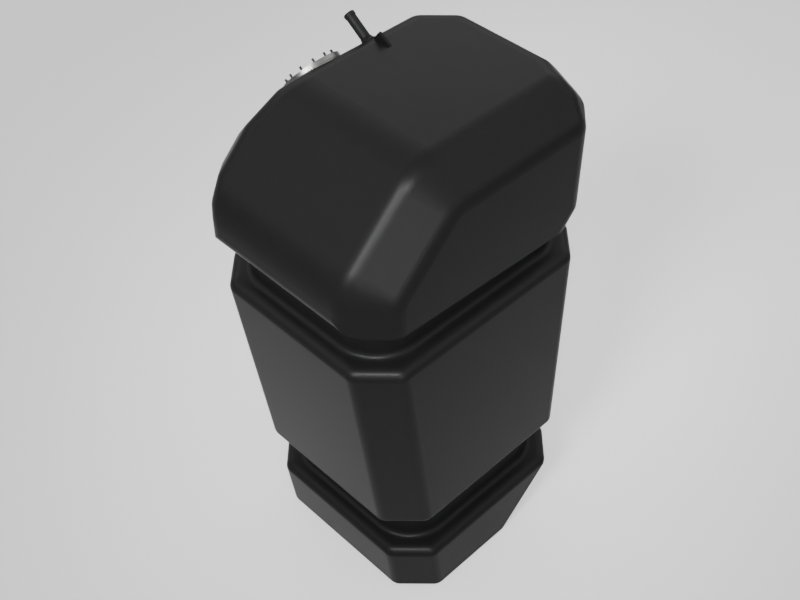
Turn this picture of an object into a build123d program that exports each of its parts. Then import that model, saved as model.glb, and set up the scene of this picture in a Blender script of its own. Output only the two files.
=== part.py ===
"""Upright moulded water tank: hollow shell, studded access cover, level sender, vent spout and drain."""
from build123d import *
from math import cos, radians, sin, sqrt, tan
import os

# ---------------------------------------------------------------- driving dimensions (mm, degrees)
# Frame: +Z up, +X along the wide front face, -Y is the front, origin under the middle of the body.
HEIGHT = 1006.0            # bottom face to top face
HALF_DEPTH = 206.0         # the front face is at -HALF_DEPTH, the back face at +HALF_DEPTH
RIGHT_X = 272.0            # upright right face
FOOT_LEFT_X = -148.0       # the left face starts here at the bottom
LEAN = 0.143               # and leans out by this much for each millimetre of height
CORNER = 60.0              # 45 degree cut on the four upright corners
WALL = 6.0                 # moulded wall
CREASE_R = 24.0            # moulded softness of the upright creases
TOP_CREASE_R = 36.0        # and of those on the top block, which are rounder

LOW_RIM = 113.0            # the low block's walls end here and its round rim begins
MID_FOOT = 238.0           # underside of the middle block
MID_RIM = 660.5            # the middle block's walls end here
TOP_FOOT = 755.0           # underside of the top block, above the origin
UNDER_SLOPE = 0.05         # how far that underside drops towards the right, per millimetre
NECK_INSET = 34.0          # depth of the two strap grooves
NECK_CORNER_R = 80.0       # round upright corners of the necks
RIM_R = 18.0               # round upper rims, each ending in a flat ledge
LEDGE_R = 10.0             # hollow fillet between a ledge and its neck
MID_FOOT_R = 12.0          # round lower edge of the middle block
BASE_R = 8.0               # round lower edge of the low block
CUT_R = 10.0               # softness of the two cuts at the foot
FOOT_CUT = 100.0           # 45 degree cut at the bottom of the right side
CORNER_CUT_X = 93.0        # the slanting front right corner meets the bottom's front edge here
CORNER_CUT_RISE = 1.04     # and moves out by this much for each millimetre of height

TOP_LEFT_X = -259.0        # upright part of the top block's left side
SLOPE_TOP_X = -105.0       # the left slope reaches the top face here, at 45 degrees
SLOPE_R = 100.0            # round blends at both ends of the slope
UNDER_LEFT_R = 28.0        # fillet under the top block's left side
UNDER_CORNER_RISE = 30.0   # the front right corner tapers in over this height at its foot
BAND = 62.0                # 45 degree band round the front of the top block
BACK_BAND = 48.0           # the same along the back of the slope
BACK_FACETS = (((-130, 157, 965), (-0.50, 1.47, 1.14)),   # point and normal: they round off the
               ((-231, 166, 857), (-1.21, 1.41, 0.50)))   # back of the sweep above and below
RIGHT_CUT = 46.0           # 45 degree cut on the top right edge
FRONT_CORNER_RUN = 41.0    # corner facet where the front band meets the right cut
SHOULDER_RUN = 73.0        # back shoulder, measured along Y
SHOULDER_TILT = 50.0       # back shoulder, from the horizontal
BACK_CORNER_RUN = 76.0     # shoulder across the back right corner

COVER_X = -15.0            # access cover, centred on the back shoulder
RING_R = 51.5              # outside radius of the clamp ring and of what it clamps
HATCH_R = 36.0             # hole through the shell under the cover
STUD_CIRCLE_R = 44.0
STUD_COUNT = 12
STUD_R = 2.0               # M4 studs
STUD_PHASE = 11.0          # degrees from +X to the first stud
STUD_TOP = 15.5            # stud ends, above the shoulder
INSERT_T = 3.0             # ring that the studs stand on, let into the shell
GASKET_T = 1.5
PLATE_T = 1.5
CLAMP_T = 5.5
NUT_WELL_R = 4.6           # wells in the clamp ring that the nuts sit in
NUT_WELL_DEPTH = 4.0
WASHER_T = 0.5
NUT_T = 2.7
NUT_FLAT = 7.0             # across flats
HOLE_PLAY = 0.25           # radial clearance round studs and screws

HEAD_R = 15.0              # level sender's head, lower than the clamp ring
HEAD_T = 2.4
HEAD_SEAL_T = 0.8
SPIGOT_R = 7.8             # threaded tail of the head, through the cover plate
SPIGOT_DEPTH = 16.0
SCREW_CIRCLE_R = 11.5
SCREW_R = 1.25
TERMINAL_R = 1.6
TERMINAL_SPREAD = 7.0
STEM_R = 4.0
STEM_BEND_R = 28.0
STEM_TURN_DEPTH = 62.0     # the stem turns upright this far below the shoulder
STEM_FOOT = 26.0           # height of its lower end
STOP_R = 9.0
STOP_T = 6.0
FLOAT_R = 22.0
FLOAT_H = 48.0
FLOAT_REST = 44.0          # underside of the float on the lower stop
FLOAT_TRAVEL = 740.0
STOP_PLAY = 0.5            # left between the float at its highest and the upper stop
MAGNET_R = 8.5
MAGNET_H = 12.0

SPOUT_X = 79.0             # vent spout, high on the same shoulder
SPOUT_UP = 39.4            # up the shoulder from its middle
SPOUT_TILT = 55.0          # from upright, towards the back
SPOUT_R = 8.7
SPOUT_BEAD_R = 9.7
SPOUT_BEAD_LENGTH = 7.0
SPOUT_BORE_R = 5.5
SPOUT_LENGTH = 53.5        # above the shoulder
SPOUT_TAIL_R = 7.2         # threaded tail through the boss
SPOUT_TAIL = 26.0
BOSS_R = 14.0              # moulded boss round the tail, inside and outside the wall
BOSS_TOP_R = 9.3
BOSS_TOP = 5.5
BOSS_DEPTH = 14.0
VENT_SEAL_T = 1.5
VENT_NUT_T = 6.0
VENT_NUT_FLAT = 24.0       # across flats
GUSSET_T = 5.0             # moulded rib on the top face, in line with the spout
GUSSET_FRONT_Y = 89.0
GUSSET_PEAK_Y = 116.0
GUSSET_BACK_Y = 128.0
GUSSET_RISE = 15.5

DRAIN_R = 13.2             # drain thread, in the middle of the foot cut
DRAIN_INSERT_R = 19.0
DRAIN_FLANGE_R = 24.0
DRAIN_FLANGE_T = 3.0
DRAIN_SEAL_R = 16.2
DRAIN_SEAL_T = 1.5
DRAIN_RIM_R = 17.2         # round rim of the plug, on the seal
DRAIN_RIM_T = 2.5
DRAIN_HEAD_FLAT = 20.0     # across flats
DRAIN_HEAD_T = 8.0

# ---------------------------------------------------------------- worked out from the above
LOW_LEDGE = LOW_RIM + RIM_R
MID_LEDGE = MID_RIM + RIM_R
SHOULDER_DROP = SHOULDER_RUN * tan(radians(SHOULDER_TILT))
SHOULDER_MID = Vector(0, HALF_DEPTH - SHOULDER_RUN / 2, HEIGHT - SHOULDER_DROP / 2)
SHOULDER_NORMAL = Vector(0, sin(radians(SHOULDER_TILT)), cos(radians(SHOULDER_TILT)))


COVER_BASE = INSERT_T      # depth of the recess for the stud ring
GASKET_TOP = GASKET_T
PLATE_TOP = GASKET_TOP + PLATE_T
CLAMP_TOP = PLATE_TOP + CLAMP_T
WELL_FLOOR = CLAMP_TOP - NUT_WELL_DEPTH


def left_x(z):
    """X of the leaning left face at height z."""
    return FOOT_LEFT_X - LEAN * z


def shoulder_plane(x, lift=0.0):
    """Plane on the back shoulder at x, its local Z pointing out of the tank, its local X along +X."""
    origin = Vector(x, SHOULDER_MID.Y, SHOULDER_MID.Z) + SHOULDER_NORMAL * lift
    return Plane(origin=origin, x_dir=(1, 0, 0), z_dir=SHOULDER_NORMAL)


def trim(point, normal, inset):
    """Cut away what lies beyond a plane, moved inwards by inset."""
    unit = Vector(*normal).normalized()
    cut = Plane(origin=Vector(*point) - unit * inset, z_dir=unit)
    split(bisect_by=cut, keep=Keep.BOTTOM)


def block(foot, rim, foot_r, rim_r, inset, foot_cut=False):
    """One of the two lower blocks between its underside and its ledge, moved inwards by inset."""
    middle = (left_x(HEIGHT) + RIGHT_X) / 2
    with BuildPart() as made:
        with BuildSketch(Plane.XY.offset(foot + inset)):
            with Locations((middle, 0)):
                Rectangle(RIGHT_X - left_x(HEIGHT), 2 * (HALF_DEPTH - inset))
        extrude(amount=rim - foot - 2 * inset)
        trim((RIGHT_X, 0, 0), (1, 0, 0), inset)
        trim((FOOT_LEFT_X, 0, 0), (-1, 0, -LEAN), inset)
        for side in (-1, 1):
            trim((RIGHT_X - CORNER, side * HALF_DEPTH, 0), (1, side, 0), inset)
            trim((FOOT_LEFT_X + CORNER, side * HALF_DEPTH, 0), (-1, side, -LEAN), inset)
        level = made.edges().filter_by(Axis.Z, reverse=True).group_by(Axis.Z)
        fillet(made.edges() - level[0] - level[-1], CREASE_R - inset)
        fillet(made.faces().sort_by(Axis.Z)[-1].edges(), rim_r - inset)
        if foot_cut:
            trim((RIGHT_X, 0, FOOT_CUT), (1, 0, -1), inset)
            trim((CORNER_CUT_X, -HALF_DEPTH, 0), (1, -1, -CORNER_CUT_RISE), inset)
            if not inset:
                slanting = made.faces().filter_by(lambda f: -0.9 < f.normal_at().Z < -0.3)
                creases = [e for f in slanting for e in f.edges()
                           if BASE_R < e.center().Z < LOW_RIM - BASE_R or 1 < e.center().Z < BASE_R]
                fillet(creases, CUT_R)
        fillet(made.faces().sort_by(Axis.Z)[0].edges(), foot_r - inset)
    return made.part


def neck(foot, rim, inset):
    """Rounded waist between two blocks, moved inwards by inset."""
    depth = NECK_INSET + inset
    with BuildPart() as made:
        for z in (foot, rim):
            left = left_x(z) + depth
            right = RIGHT_X - depth
            with BuildSketch(Plane.XY.offset(z)):
                with Locations(((left + right) / 2, 0)):
                    RectangleRounded(right - left, 2 * (HALF_DEPTH - depth), NECK_CORNER_R - inset)
        loft()
    return made.part


def band_leg(leg, inset):
    """Leg of a 45 degree cut once its three faces have moved inwards by inset."""
    return leg - (2 - sqrt(2)) * inset


def top_block(inset):
    """Top block: left slope, front band, back shoulder and the cuts at its right."""
    slope_foot = HEIGHT - (SLOPE_TOP_X - TOP_LEFT_X)
    floor = TOP_FOOT - 2 * BAND
    across = BACK_CORNER_RUN / sqrt(2)
    corner_top = (RIGHT_X - CORNER - across, HALF_DEPTH - across, HEIGHT)
    front_corner = (RIGHT_X - RIGHT_CUT, BAND + FRONT_CORNER_RUN - HALF_DEPTH, HEIGHT)
    with BuildPart() as made:
        with BuildSketch(Plane.XZ) as profile:
            with BuildLine():
                Polyline((TOP_LEFT_X, floor), (RIGHT_X, floor), (RIGHT_X, HEIGHT - RIGHT_CUT),
                         (RIGHT_X - RIGHT_CUT, HEIGHT), (SLOPE_TOP_X, HEIGHT),
                         (TOP_LEFT_X, slope_foot), close=True)
            make_face()
            slope_ends = profile.vertices().filter_by(
                lambda v: v.Y > slope_foot - 1 and v.X < SLOPE_TOP_X + 1)
            fillet(slope_ends, SLOPE_R)
            if inset:
                offset(amount=-inset, mode=Mode.REPLACE)
        extrude(amount=HALF_DEPTH - inset, both=True)
        front = made.faces().sort_by(Axis.Y)[0]
        chamfer(front.edges().filter_by(lambda e: e.center().Z > floor + inset + 1),
                band_leg(BAND, inset))
        trim((0, HALF_DEPTH - SHOULDER_RUN, HEIGHT), SHOULDER_NORMAL, inset)
        trim((SLOPE_TOP_X, HALF_DEPTH - BACK_BAND, HEIGHT), (-1, sqrt(2), 1), inset)
        trim((TOP_LEFT_X + CORNER, HALF_DEPTH, 0), (-1, 1, 0), inset)
        trim((RIGHT_X - CORNER, HALF_DEPTH, 0), (1, 1, 0), inset)
        for point, normal in BACK_FACETS:
            trim(point, normal, inset)
        trim(corner_top, (1, 1, sqrt(2) / tan(radians(SHOULDER_TILT))), inset)
        trim(front_corner, (1.15, -0.5, 1), inset)
        trim((RIGHT_X, BAND - HALF_DEPTH, TOP_FOOT - UNDER_SLOPE * RIGHT_X + UNDER_CORNER_RISE),
             (1, -1, -0.9), inset)
        fillet(made.edges() - made.faces().sort_by(Axis.Z)[0].edges(), TOP_CREASE_R - inset)
        with BuildSketch(Plane.XZ) as underside:
            with BuildLine():
                Polyline((TOP_LEFT_X, TOP_FOOT - UNDER_SLOPE * TOP_LEFT_X),
                         (RIGHT_X, TOP_FOOT - UNDER_SLOPE * RIGHT_X),
                         (RIGHT_X, HEIGHT), (TOP_LEFT_X, HEIGHT), close=True)
            make_face()
            fillet(underside.vertices().sort_by(Axis.Y)[1], UNDER_LEFT_R)
            if inset:
                offset(amount=-inset, mode=Mode.REPLACE)
        extrude(amount=HALF_DEPTH, both=True, mode=Mode.INTERSECT)
    return made.part


def body(inset):
    """Three blocks joined by two necks, moved inwards by inset."""
    ledges = (LOW_LEDGE, MID_LEDGE)
    with BuildPart() as made:
        add(block(0, LOW_LEDGE, BASE_R, RIM_R, inset, foot_cut=True))
        add(block(MID_FOOT, MID_LEDGE, MID_FOOT_R, RIM_R, inset))
        add(top_block(inset))
        add(neck(LOW_RIM, MID_FOOT + 4 * WALL, inset))
        add(neck(MID_RIM, TOP_FOOT + 6 * WALL, inset))
        if not inset:
            for ledge in ledges:
                corner = [e for e in made.edges().filter_by_position(Axis.Z, ledge - 0.1, ledge + 0.1)
                          if abs(e.center().Y) < HALF_DEPTH - NECK_INSET + 1
                          and e.center().X < RIGHT_X - NECK_INSET + 1
                          and e.center().X > left_x(ledge) + NECK_INSET - 1]
                fillet(corner, LEDGE_R)
    return made.part


os.makedirs("parts", exist_ok=True)


def finish(piece, label):
    """Name a finished piece and write it."""
    piece.part.label = label
    export_step(piece.part, f"parts/{label}.step")


def disc(radius, bottom, top, x=COVER_X):
    """Cylinder standing on the shoulder between two heights above it."""
    with BuildSketch(shoulder_plane(x, bottom)) as face:
        Circle(radius)
    extrude(face.sketch, amount=top - bottom)


def round_hole(radius, bottom, top, x=COVER_X):
    """Cut a cylinder out of the piece being made."""
    with BuildSketch(shoulder_plane(x, bottom)) as face:
        Circle(radius)
    extrude(face.sketch, amount=top - bottom, mode=Mode.SUBTRACT)


def on_studs(radius, bottom, top, mode=Mode.ADD, flats=0.0):
    """One cylinder, or one hexagon across flats, at each stud."""
    with BuildSketch(shoulder_plane(COVER_X, bottom)) as face:
        with PolarLocations(STUD_CIRCLE_R, STUD_COUNT, start_angle=STUD_PHASE):
            if flats:
                RegularPolygon(flats / 2, 6, major_radius=False)
            else:
                Circle(radius)
    extrude(face.sketch, amount=top - bottom, mode=mode)


SPOUT_NORMAL = Vector(0, sin(radians(SPOUT_TILT)), cos(radians(SPOUT_TILT)))
SPOUT_BASE = Vector(SPOUT_X, SHOULDER_MID.Y - SPOUT_UP * cos(radians(SHOULDER_TILT)),
                    SHOULDER_MID.Z + SPOUT_UP * sin(radians(SHOULDER_TILT)))
FOOT_CUT_MID = Vector(RIGHT_X - FOOT_CUT / 2, 0, FOOT_CUT / 2)
FOOT_CUT_NORMAL = Vector(1, 0, -1).normalized()


def spout_plane(lift):
    """Plane square to the spout's axis, lift above its base on the shoulder."""
    return Plane(origin=SPOUT_BASE + SPOUT_NORMAL * lift, x_dir=(1, 0, 0), z_dir=SPOUT_NORMAL)


def spout_disc(radius, bottom, top, mode=Mode.ADD, flats=0.0):
    """Cylinder, or hexagon across flats, on the spout's axis."""
    with BuildSketch(spout_plane(bottom)) as face:
        if flats:
            RegularPolygon(flats / 2, 6, major_radius=False)
        else:
            Circle(radius)
    extrude(face.sketch, amount=top - bottom, mode=mode)


def drain_disc(radius, bottom, top, mode=Mode.ADD, flats=0.0):
    """Cylinder, or hexagon across flats, on the drain's axis."""
    where = Plane(origin=FOOT_CUT_MID + FOOT_CUT_NORMAL * bottom, x_dir=(0, 1, 0),
                  z_dir=FOOT_CUT_NORMAL)
    with BuildSketch(where) as face:
        if flats:
            RegularPolygon(flats / 2, 6, major_radius=False)
        else:
            Circle(radius)
    extrude(face.sketch, amount=top - bottom, mode=mode)


# ---------------------------------------------------------------- tank shell
with BuildPart() as tank_shell:
    add(body(0))
    with BuildSketch(Plane.YZ.offset(SPOUT_X - GUSSET_T / 2)):
        Polygon((GUSSET_FRONT_Y, HEIGHT - 1), (GUSSET_PEAK_Y, HEIGHT + GUSSET_RISE),
                (GUSSET_BACK_Y, HEIGHT - 1), align=None)
    extrude(amount=GUSSET_T)
    add(body(WALL), mode=Mode.SUBTRACT)
    spout_disc(BOSS_R, -BOSS_DEPTH, -2)
    for lift, radius, next_lift, next_radius in ((-2, BOSS_R, 1, 10.8), (1, 10.8, BOSS_TOP, BOSS_TOP_R)):
        with BuildSketch(spout_plane(lift)):
            Circle(radius)
        with BuildSketch(spout_plane(next_lift)):
            Circle(next_radius)
        loft()
    spout_disc(SPOUT_TAIL_R, -3 * WALL, 3 * WALL, mode=Mode.SUBTRACT)
    round_hole(HATCH_R, -3 * WALL, WALL)
    round_hole(RING_R - 1, -COVER_BASE, WALL)
    drain_disc(DRAIN_INSERT_R, -2 * WALL, 2 * WALL, mode=Mode.SUBTRACT)
finish(tank_shell, "tank_shell")

# ---------------------------------------------------------------- access cover, bottom to top
with BuildPart() as stud_ring:
    disc(RING_R - 1, -COVER_BASE, 0)
    round_hole(HATCH_R, -COVER_BASE, 0)
    on_studs(STUD_R, -COVER_BASE, 0, mode=Mode.SUBTRACT)
finish(stud_ring, "stud_ring")

with BuildPart() as cover_studs:
    on_studs(STUD_R, -COVER_BASE, STUD_TOP)
finish(cover_studs, "cover_studs")

with BuildPart() as cover_gasket:
    disc(RING_R - 0.5, 0, GASKET_TOP)
    round_hole(HATCH_R, 0, GASKET_TOP)
    on_studs(STUD_R + HOLE_PLAY, 0, GASKET_TOP, mode=Mode.SUBTRACT)
finish(cover_gasket, "cover_gasket")

with BuildPart() as cover_plate:
    disc(RING_R, GASKET_TOP, PLATE_TOP)
    round_hole(SPIGOT_R + HOLE_PLAY, GASKET_TOP, PLATE_TOP)
    on_studs(STUD_R + HOLE_PLAY, GASKET_TOP, PLATE_TOP, mode=Mode.SUBTRACT)
    with BuildSketch(shoulder_plane(COVER_X, GASKET_TOP)):
        with PolarLocations(SCREW_CIRCLE_R, 4, start_angle=45):
            Circle(SCREW_R)
    extrude(amount=PLATE_T, mode=Mode.SUBTRACT)
finish(cover_plate, "cover_plate")

with BuildPart() as clamp_ring:
    disc(RING_R, PLATE_TOP, CLAMP_TOP)
    round_hole(HATCH_R, PLATE_TOP, CLAMP_TOP)
    on_studs(STUD_R + HOLE_PLAY, PLATE_TOP, CLAMP_TOP, mode=Mode.SUBTRACT)
    on_studs(NUT_WELL_R, WELL_FLOOR, CLAMP_TOP, mode=Mode.SUBTRACT)
finish(clamp_ring, "clamp_ring")

with BuildPart() as clamp_washers:
    on_studs(NUT_WELL_R - 0.3, WELL_FLOOR, WELL_FLOOR + WASHER_T)
    on_studs(STUD_R + HOLE_PLAY, WELL_FLOOR, WELL_FLOOR + WASHER_T, mode=Mode.SUBTRACT)
finish(clamp_washers, "clamp_washers")

with BuildPart() as clamp_nuts:
    on_studs(0, WELL_FLOOR + WASHER_T, WELL_FLOOR + WASHER_T + NUT_T, flats=NUT_FLAT)
    on_studs(STUD_R, WELL_FLOOR + WASHER_T, WELL_FLOOR + WASHER_T + NUT_T, mode=Mode.SUBTRACT)
finish(clamp_nuts, "clamp_nuts")

# ---------------------------------------------------------------- level sender
HEAD_FOOT = PLATE_TOP + HEAD_SEAL_T
HEAD_TOP = HEAD_FOOT + HEAD_T

with BuildPart() as sender_seal:
    disc(HEAD_R - 0.5, PLATE_TOP, HEAD_FOOT)
    round_hole(SPIGOT_R + HOLE_PLAY, PLATE_TOP, HEAD_FOOT)
    with BuildSketch(shoulder_plane(COVER_X, PLATE_TOP)):
        with PolarLocations(SCREW_CIRCLE_R, 4, start_angle=45):
            Circle(SCREW_R + HOLE_PLAY)
    extrude(amount=HEAD_SEAL_T, mode=Mode.SUBTRACT)
finish(sender_seal, "sender_seal")

with BuildPart() as sender_head:
    disc(HEAD_R, HEAD_FOOT, HEAD_TOP)
    disc(SPIGOT_R, -SPIGOT_DEPTH, HEAD_FOOT)
    round_hole(STEM_R, -SPIGOT_DEPTH, -SPIGOT_DEPTH + 10)
    with BuildSketch(shoulder_plane(COVER_X, HEAD_FOOT)):
        with PolarLocations(SCREW_CIRCLE_R, 4, start_angle=45):
            Circle(SCREW_R + HOLE_PLAY)
        with Locations((-TERMINAL_SPREAD / 2, 0), (TERMINAL_SPREAD / 2, 0)):
            Circle(TERMINAL_R)
    extrude(amount=HEAD_T, mode=Mode.SUBTRACT)
finish(sender_head, "sender_head")

with BuildPart() as sender_screws:
    with BuildSketch(shoulder_plane(COVER_X, GASKET_TOP)):
        with PolarLocations(SCREW_CIRCLE_R, 4, start_angle=45):
            Circle(SCREW_R)
    extrude(amount=HEAD_TOP - GASKET_TOP)
    with BuildSketch(shoulder_plane(COVER_X, HEAD_TOP)):
        with PolarLocations(SCREW_CIRCLE_R, 4, start_angle=45):
            Circle(2 * SCREW_R)
    extrude(amount=1.4)
finish(sender_screws, "sender_screws")

with BuildPart() as sender_terminals:
    with BuildSketch(shoulder_plane(COVER_X, HEAD_FOOT)):
        with Locations((-TERMINAL_SPREAD / 2, 0), (TERMINAL_SPREAD / 2, 0)):
            Circle(TERMINAL_R)
    extrude(amount=HEAD_T + 2.0)
finish(sender_terminals, "sender_terminals")

with BuildPart() as sender_locknut:
    disc(SPIGOT_R + 4.5, -4.0, GASKET_TOP)
    round_hole(SPIGOT_R, -4.0, GASKET_TOP)
finish(sender_locknut, "sender_locknut")

stem_start = shoulder_plane(COVER_X, -SPIGOT_DEPTH + 10).origin
stem_turn = shoulder_plane(COVER_X, -STEM_TURN_DEPTH).origin
stem_x, stem_y = stem_turn.X, stem_turn.Y
with BuildPart() as sender_stem:
    with BuildLine() as stem_path:
        FilletPolyline(stem_start, stem_turn, (stem_x, stem_y, STEM_FOOT), radius=STEM_BEND_R)
    with BuildSketch(Plane(origin=stem_start, x_dir=(1, 0, 0), z_dir=SHOULDER_NORMAL)):
        Circle(STEM_R)
    sweep()
finish(sender_stem, "sender_stem")


def collar(radius, foot, height, bore):
    """Ring on the upright part of the stem."""
    with BuildSketch(Plane.XY.offset(foot)) as face:
        with Locations((stem_x, stem_y)):
            Circle(radius)
            Circle(bore, mode=Mode.SUBTRACT)
    extrude(face.sketch, amount=height)


with BuildPart() as float_lower_stop:
    collar(STOP_R, FLOAT_REST - STOP_T, STOP_T, STEM_R)
finish(float_lower_stop, "float_lower_stop")

with BuildPart() as float_upper_stop:
    collar(STOP_R, FLOAT_REST + FLOAT_H + FLOAT_TRAVEL + STOP_PLAY, STOP_T, STEM_R)
finish(float_upper_stop, "float_upper_stop")

with BuildPart() as level_float:
    collar(FLOAT_R, FLOAT_REST, FLOAT_H, STEM_R + 0.6)
    fillet(level_float.edges().filter_by(lambda e: e.length > 2 * FLOAT_R * 3), 6.0)
    with BuildSketch(Plane.XY.offset(FLOAT_REST + FLOAT_H - MAGNET_H)):
        with Locations((stem_x, stem_y)):
            Circle(MAGNET_R)
    extrude(amount=MAGNET_H, mode=Mode.SUBTRACT)
finish(level_float, "level_float")

with BuildPart() as float_magnet:
    collar(MAGNET_R, FLOAT_REST + FLOAT_H - MAGNET_H, MAGNET_H - 2.0, STEM_R + 1.0)
finish(float_magnet, "float_magnet")

with BuildPart() as float_cap:
    collar(MAGNET_R, FLOAT_REST + FLOAT_H - 2.0, 2.0, STEM_R + 0.6)
finish(float_cap, "float_cap")

# ---------------------------------------------------------------- vent spout
VENT_SEAL_FOOT = -BOSS_DEPTH - VENT_SEAL_T

with BuildPart() as vent_spout:
    spout_disc(SPOUT_TAIL_R, -SPOUT_TAIL, BOSS_TOP)
    spout_disc(SPOUT_R, BOSS_TOP, SPOUT_LENGTH)
    spout_disc(SPOUT_BEAD_R, SPOUT_LENGTH - SPOUT_BEAD_LENGTH, SPOUT_LENGTH)
    chamfer(vent_spout.faces().sort_by(Axis((0, 0, 0), SPOUT_NORMAL))[-1].edges(), 1.2)
    spout_disc(SPOUT_BORE_R, -SPOUT_TAIL, SPOUT_LENGTH, mode=Mode.SUBTRACT)
finish(vent_spout, "vent_spout")

with BuildPart() as vent_seal:
    spout_disc(BOSS_R - 0.5, VENT_SEAL_FOOT, -BOSS_DEPTH)
    spout_disc(SPOUT_TAIL_R, VENT_SEAL_FOOT, -BOSS_DEPTH, mode=Mode.SUBTRACT)
finish(vent_seal, "vent_seal")

with BuildPart() as vent_nut:
    spout_disc(0, VENT_SEAL_FOOT - VENT_NUT_T, VENT_SEAL_FOOT, flats=VENT_NUT_FLAT)
    spout_disc(SPOUT_TAIL_R, VENT_SEAL_FOOT - VENT_NUT_T, VENT_SEAL_FOOT, mode=Mode.SUBTRACT)
finish(vent_nut, "vent_nut")

# ---------------------------------------------------------------- drain
DRAIN_SEAL_TOP = DRAIN_FLANGE_T + DRAIN_SEAL_T
DRAIN_RIM_TOP = DRAIN_SEAL_TOP + DRAIN_RIM_T

with BuildPart() as drain_insert:
    drain_disc(DRAIN_INSERT_R, -WALL, 0)
    drain_disc(DRAIN_FLANGE_R, 0, DRAIN_FLANGE_T)
    drain_disc(DRAIN_R, -WALL, DRAIN_FLANGE_T, mode=Mode.SUBTRACT)
finish(drain_insert, "drain_insert")

with BuildPart() as drain_seal:
    drain_disc(DRAIN_SEAL_R, DRAIN_FLANGE_T, DRAIN_SEAL_TOP)
    drain_disc(DRAIN_R, DRAIN_FLANGE_T, DRAIN_SEAL_TOP, mode=Mode.SUBTRACT)
finish(drain_seal, "drain_seal")

with BuildPart() as drain_plug:
    drain_disc(DRAIN_R, -WALL, DRAIN_SEAL_TOP)
    drain_disc(DRAIN_RIM_R, DRAIN_SEAL_TOP, DRAIN_RIM_TOP)
    drain_disc(0, DRAIN_RIM_TOP, DRAIN_RIM_TOP + DRAIN_HEAD_T, flats=DRAIN_HEAD_FLAT)
finish(drain_plug, "drain_plug")
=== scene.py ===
from math import radians
import bpy
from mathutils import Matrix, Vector

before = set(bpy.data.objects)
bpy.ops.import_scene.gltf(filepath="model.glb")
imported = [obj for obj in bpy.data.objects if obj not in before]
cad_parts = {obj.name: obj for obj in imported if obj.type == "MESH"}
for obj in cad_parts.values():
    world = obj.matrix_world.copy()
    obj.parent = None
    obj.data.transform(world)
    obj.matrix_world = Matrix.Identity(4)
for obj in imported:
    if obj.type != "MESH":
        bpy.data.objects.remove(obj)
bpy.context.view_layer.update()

# ------------------------------------------------------------------ materials


def material(name, base, rough, metal=0.0, spec=0.5, grain=0.0, scale=40.0, bump=0.0,
             depth=0.0004, stretch=(1, 1, 1), tint=0.06):
    """Principled surface whose colour, roughness and bump all vary with noise in the object's space."""
    mat = bpy.data.materials.new(name)
    mat.use_nodes = True
    tree = mat.node_tree
    nodes, links = tree.nodes, tree.links
    shader = nodes["Principled BSDF"]
    shader.inputs["Metallic"].default_value = metal
    shader.inputs["Specular IOR Level"].default_value = spec
    where = nodes.new("ShaderNodeTexCoord")
    mapping = nodes.new("ShaderNodeMapping")
    mapping.inputs["Scale"].default_value = stretch
    links.new(where.outputs["Object"], mapping.inputs["Vector"])

    def noise(size, detail):
        node = nodes.new("ShaderNodeTexNoise")
        node.inputs["Scale"].default_value = size
        node.inputs["Detail"].default_value = detail
        links.new(mapping.outputs["Vector"], node.inputs["Vector"])
        return node

    broad, fine = noise(scale * 0.12, 4.0), noise(scale, 6.0)
    ramp = nodes.new("ShaderNodeValToRGB")
    low = [c * (1 - tint) for c in base]
    high = [c * (1 + tint) for c in base]
    ramp.color_ramp.elements[0].position = 0.3
    ramp.color_ramp.elements[0].color = (*low, 1)
    ramp.color_ramp.elements[1].position = 0.7
    ramp.color_ramp.elements[1].color = (*high, 1)
    links.new(broad.outputs["Fac"], ramp.inputs["Fac"])
    links.new(ramp.outputs["Color"], shader.inputs["Base Color"])
    span = nodes.new("ShaderNodeMapRange")
    span.inputs["To Min"].default_value = rough - grain
    span.inputs["To Max"].default_value = rough + grain
    links.new(fine.outputs["Fac"], span.inputs["Value"])
    links.new(span.outputs["Result"], shader.inputs["Roughness"])
    if bump:
        relief = nodes.new("ShaderNodeBump")
        relief.inputs["Strength"].default_value = bump
        relief.inputs["Distance"].default_value = depth
        links.new(fine.outputs["Fac"], relief.inputs["Height"])
        links.new(relief.outputs["Normal"], shader.inputs["Normal"])
    return mat


moulded = material("moulded_plastic", (0.003, 0.003, 0.0031), 0.36, grain=0.03, scale=420, bump=0.12,
                   depth=0.00008, spec=0.038, tint=0.05)
fitting = material("fitting_plastic", (0.004, 0.004, 0.0041), 0.5, grain=0.06, scale=300, bump=0.15,
                   spec=0.05)
nylon = material("black_nylon", (0.03, 0.03, 0.03), 0.5, grain=0.06, scale=260, bump=0.1)
foam = material("float_foam", (0.08, 0.08, 0.085), 0.75, grain=0.08, scale=500, bump=0.4)
rubber = material("black_rubber", (0.018, 0.018, 0.018), 0.7, grain=0.08, scale=300, bump=0.15)
steel = material("brushed_stainless", (0.1, 0.1, 0.098), 0.3, metal=1.0, grain=0.06, scale=220,
                 bump=0.05, stretch=(1, 1, 0.08))
blackened = material("blackened_steel", (0.012, 0.012, 0.012), 0.45, metal=1.0, grain=0.08, scale=300,
                     bump=0.05)
brass = material("brass", (0.72, 0.52, 0.22), 0.28, metal=1.0, grain=0.06, scale=260, bump=0.05)
magnet = material("sintered_magnet", (0.12, 0.12, 0.13), 0.55, metal=0.6, grain=0.08, scale=400, bump=0.2)

painted = {
    moulded: ("tank_shell",),
    steel: ("stud_ring", "cover_plate", "clamp_ring", "sender_stem"),
    blackened: ("cover_studs", "clamp_washers", "clamp_nuts", "sender_screws"),
    rubber: ("cover_gasket", "sender_seal", "vent_seal", "drain_seal"),
    nylon: ("sender_head", "sender_locknut", "float_lower_stop", "float_upper_stop", "vent_nut"),
    brass: ("sender_terminals", "drain_insert"),
    foam: ("level_float", "float_cap"),
    magnet: ("float_magnet",),
    fitting: ("vent_spout", "drain_plug"),
}
for finish, names in painted.items():
    for name in names:
        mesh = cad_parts[name].data
        mesh.materials.clear()
        mesh.materials.append(finish)

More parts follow.
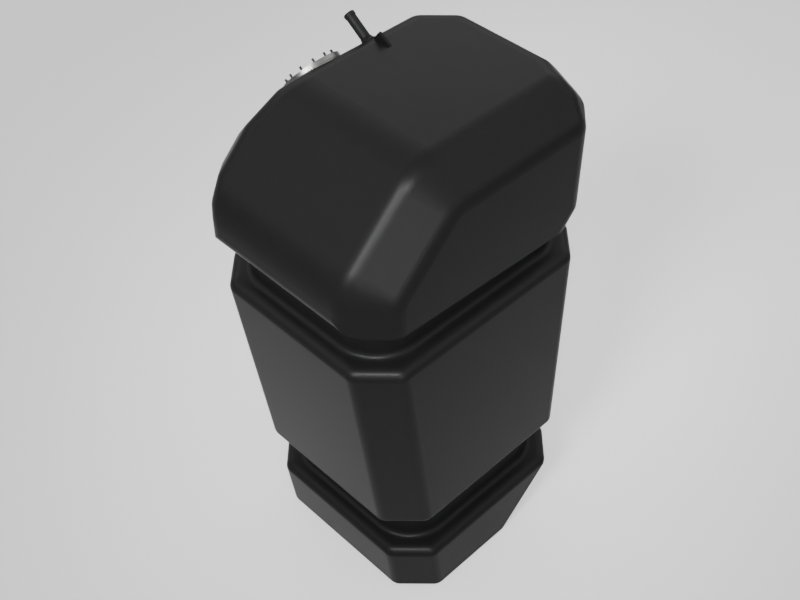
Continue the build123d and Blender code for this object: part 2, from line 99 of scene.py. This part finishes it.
# ------------------------------------------------------------------ floor, light and camera
floor_mesh = bpy.data.meshes.new("floor")
reach = 6.0
floor_mesh.from_pydata([(-reach, -reach, 0), (reach, -reach, 0), (reach, reach, 0), (-reach, reach, 0)],
                       [], [(0, 1, 2, 3)])
floor = bpy.data.objects.new("floor", floor_mesh)
bpy.context.scene.collection.objects.link(floor)
floor_mesh.materials.append(material("pale_floor", (0.4, 0.4, 0.4), 0.9, scale=3, tint=0.01, spec=0.1))

world = bpy.data.worlds.new("studio")
bpy.context.scene.world = world
world.use_nodes = True
# a sky in bands: dark at the horizon, brightest from 25 to 45 degrees up, dimmer overhead
sky = world.node_tree.nodes
links = world.node_tree.links
sky["Background"].inputs["Strength"].default_value = 3.6
direction = sky.new("ShaderNodeTexCoord")
height = sky.new("ShaderNodeSeparateXYZ")
bands = sky.new("ShaderNodeValToRGB")
links.new(direction.outputs["Generated"], height.inputs["Vector"])
links.new(height.outputs["Z"], bands.inputs["Fac"])
links.new(bands.outputs["Color"], sky["Background"].inputs["Color"])
bands.color_ramp.interpolation = "EASE"
stops = ((0.0, 0.12), (0.2, 0.25), (0.4, 1.0), (0.7, 0.93), (0.84, 0.4), (1.0, 0.45))
while len(bands.color_ramp.elements) < len(stops):
    bands.color_ramp.elements.new(0.5)
for stop, (position, grey) in zip(bands.color_ramp.elements, stops):
    stop.position = position
    stop.color = (grey, grey, grey, 1)


def softbox(name, at, towards, width, height, power, spread=180):
    light = bpy.data.lights.new(name, "AREA")
    light.shape = "RECTANGLE"
    light.size, light.size_y = width, height
    light.energy = power
    light.spread = radians(spread)
    lamp = bpy.data.objects.new(name, light)
    bpy.context.scene.collection.objects.link(lamp)
    lamp.location = at
    lamp.rotation_mode = "QUATERNION"
    lamp.rotation_quaternion = (Vector(towards) - Vector(at)).to_track_quat("-Z", "Y")
    return lamp


# narrow boxes, so that they shape the edges of the tank and leave the floor even
softbox("key", (-2.2, -0.6, 2.6), (-0.1, 0, 0.85), 1.2, 1.2, 12, spread=28)
softbox("low_front", (-1.67, -2.92, 1.65), (-0.15, -0.2, 0.85), 1.5, 1.0, 10, spread=60)
softbox("over_camera", (-2.0, -2.0, 3.2), (-0.1, -0.1, 0.6), 0.7, 0.7, 9, spread=28)

camera_data = bpy.data.cameras.new("camera")
camera_data.sensor_width = 36
camera_data.lens = 56.25
camera_data.clip_start, camera_data.clip_end = 0.05, 50
camera = bpy.data.objects.new("camera", camera_data)
bpy.context.scene.collection.objects.link(camera)
back = Vector((-0.50217, -0.50855, 0.69945)).normalized()
camera.location = (-1.0868, -1.1097, 2.0895)
camera.rotation_mode = "QUATERNION"
camera.rotation_quaternion = back.to_track_quat("Z", "Y")
bpy.context.scene.camera = camera
